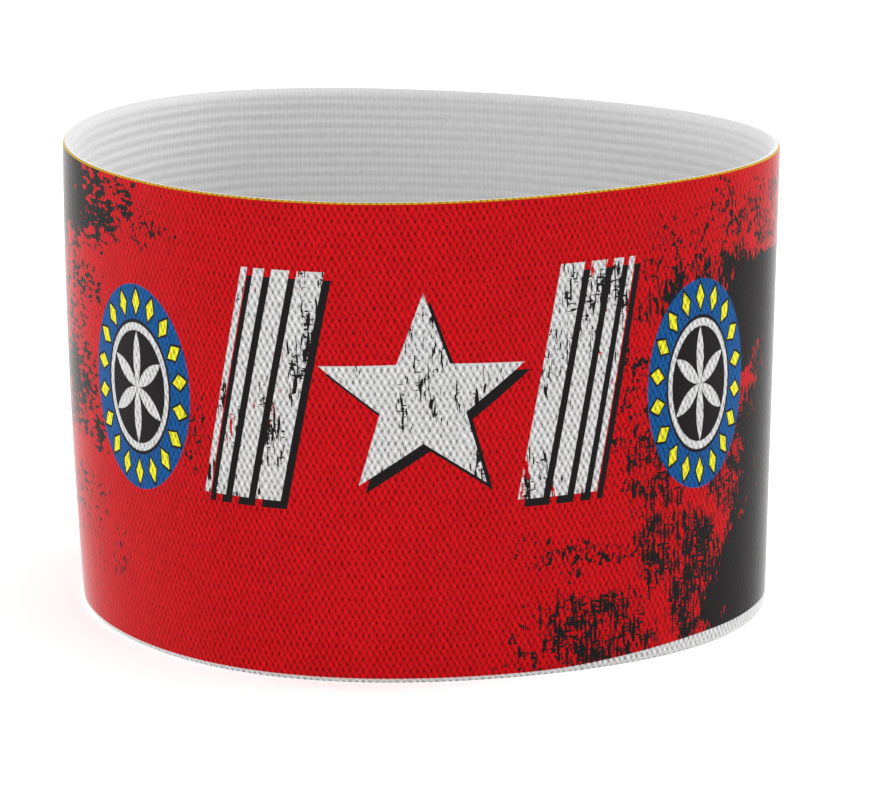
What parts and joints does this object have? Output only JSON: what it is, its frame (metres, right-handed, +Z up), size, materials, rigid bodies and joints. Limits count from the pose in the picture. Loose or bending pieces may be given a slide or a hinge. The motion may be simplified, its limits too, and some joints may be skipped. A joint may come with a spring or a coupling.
{
  "type": "captain armband",
  "caption": "Wide seamless loop of printed, ribbed elastic worn round the upper arm, standing on its lower edge.",
  "frame": {"origin": "centre of the bounding box at the lower edge, on the surface that the band stands on", "axes": "+Z up along the arm, from the lower edge to the upper edge; -Y towards the middle of the printed design; +X to the right of someone who looks at the design"},
  "size_m": [0.1078, 0.1096, 0.0711],
  "materials": {
    "printed_elastic": "knitted elastic, printed outside, white ribs inside"
  },
  "bodies": {
    "root": {"elastic_band": "printed_elastic"}
  },
  "joints": []
}
